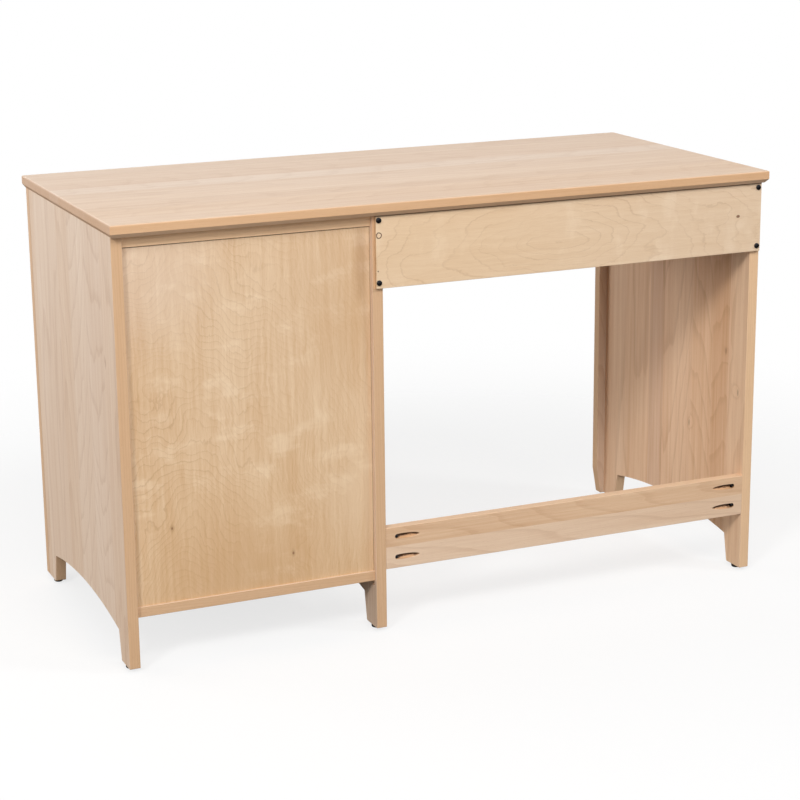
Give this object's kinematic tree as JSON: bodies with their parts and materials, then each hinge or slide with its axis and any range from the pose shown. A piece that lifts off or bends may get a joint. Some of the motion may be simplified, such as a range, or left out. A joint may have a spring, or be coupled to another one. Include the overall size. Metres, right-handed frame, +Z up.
{
  "type": "shaker sewing desk",
  "caption": "Plain wooden pedestal desk with arched side panels, inset drawers on runners, an open kneehole with a rear apron and a low stretcher.",
  "frame": {"origin": "floor point under the middle of the overall box, knobs and top overhangs included", "axes": "+Z up; the drawers and their knobs face -Y and the rear apron faces +Y; the drawer pedestal is at the +X end"},
  "size_m": [1.227, 0.5924, 0.7665],
  "materials": {
    "case_wood": "unfinished, sanded alder boards",
    "top_wood": "unfinished, sanded edge-glued planks",
    "back_plywood": "unfinished rotary-cut plywood",
    "apron_plywood": "unfinished plywood with a cathedral figure",
    "spacer_wood": "raw sawn strips",
    "drawer_wood": "unfinished drawer-side boards",
    "drawer_plywood": "unfinished thin plywood",
    "knob_wood": "unfinished, turned and sanded",
    "black_screw": "black oxide",
    "zinc_steel": "zinc plated",
    "slide_steel": "zinc plated sheet",
    "glide": "moulded black"
  },
  "bodies": {
    "case": {"apron_screws": "black_screw", "back_panel": "back_plywood", "back_top_rail": "case_wood", "cleat_kneehole": "case_wood", "cleat_partition": "case_wood", "cleat_pedestal": "case_wood", "foot_glides": "glide", "glide_nails": "zinc_steel", "kneehole_apron": "apron_plywood", "kneehole_drawer_rail": "case_wood", "kneehole_side": "case_wood", "kneehole_stile": "case_wood", "kneehole_top_rail": "case_wood", "lower_stretcher": "case_wood", "middle_stile": "case_wood", "partition": "case_wood", "pedestal_bottom": "case_wood", "pedestal_bottom_rail": "case_wood", "pedestal_rail_lower": "case_wood", "pedestal_rail_upper": "case_wood", "pedestal_side": "case_wood", "pedestal_stile": "case_wood", "pedestal_top_rail": "case_wood", "slide_cabinet_members": "slide_steel", "slide_spacers": "spacer_wood", "stretcher_screws": "zinc_steel", "tabletop": "top_wood", "top_screws": "zinc_steel"},
    "drawer_1": {"drawer_1_back": "drawer_wood", "drawer_1_bottom": "drawer_plywood", "drawer_1_front": "case_wood", "drawer_1_knob": "knob_wood", "drawer_1_knob_screw": "zinc_steel", "drawer_1_sides": "drawer_wood", "drawer_1_slide_member": "slide_steel"},
    "drawer_2": {"drawer_2_back": "drawer_wood", "drawer_2_bottom": "drawer_plywood", "drawer_2_front": "case_wood", "drawer_2_knob": "knob_wood", "drawer_2_knob_screw": "zinc_steel", "drawer_2_sides": "drawer_wood", "drawer_2_slide_member": "slide_steel"},
    "drawer_3": {"drawer_3_back": "drawer_wood", "drawer_3_bottom": "drawer_plywood", "drawer_3_front": "case_wood", "drawer_3_knob": "knob_wood", "drawer_3_knob_screw": "zinc_steel", "drawer_3_sides": "drawer_wood", "drawer_3_slide_member": "slide_steel"},
    "center_drawer": {"center_drawer_back": "drawer_wood", "center_drawer_bottom": "drawer_plywood", "center_drawer_front": "case_wood", "center_drawer_knob": "knob_wood", "center_drawer_knob_screw": "zinc_steel", "center_drawer_sides": "drawer_wood", "center_drawer_slide_member": "slide_steel"},
    "drawer_1_slide_middles": {"drawer_1_slide_middle": "slide_steel"},
    "drawer_2_slide_middles": {"drawer_2_slide_middle": "slide_steel"},
    "drawer_3_slide_middles": {"drawer_3_slide_middle": "slide_steel"},
    "center_drawer_slide_middles": {"center_drawer_slide_middle": "slide_steel"}
  },
  "joints": [
    {"name": "drawer_1_pull", "type": "slide", "parent": "case", "child": "drawer_1", "axis": [0, -1, 0], "range_m": [0, 0.457]},
    {"name": "drawer_1_slide_run", "type": "slide", "parent": "case", "child": "drawer_1_slide_middles", "axis": [0, -1, 0], "range_m": [0, 0.2285]},
    {"name": "drawer_2_pull", "type": "slide", "parent": "case", "child": "drawer_2", "axis": [0, -1, 0], "range_m": [0, 0.457]},
    {"name": "drawer_2_slide_run", "type": "slide", "parent": "case", "child": "drawer_2_slide_middles", "axis": [0, -1, 0], "range_m": [0, 0.2285]},
    {"name": "drawer_3_pull", "type": "slide", "parent": "case", "child": "drawer_3", "axis": [0, -1, 0], "range_m": [0, 0.457]},
    {"name": "drawer_3_slide_run", "type": "slide", "parent": "case", "child": "drawer_3_slide_middles", "axis": [0, -1, 0], "range_m": [0, 0.2285]},
    {"name": "center_drawer_pull", "type": "slide", "parent": "case", "child": "center_drawer", "axis": [0, -1, 0], "range_m": [0, 0.457]},
    {"name": "center_drawer_slide_run", "type": "slide", "parent": "case", "child": "center_drawer_slide_middles", "axis": [0, -1, 0], "range_m": [0, 0.2285]}
  ],
  "couplings": [
    {"joint": "drawer_1_slide_run", "follows": "drawer_1_pull", "ratio": 0.5},
    {"joint": "drawer_2_slide_run", "follows": "drawer_2_pull", "ratio": 0.5},
    {"joint": "drawer_3_slide_run", "follows": "drawer_3_pull", "ratio": 0.5},
    {"joint": "center_drawer_slide_run", "follows": "center_drawer_pull", "ratio": 0.5}
  ]
}
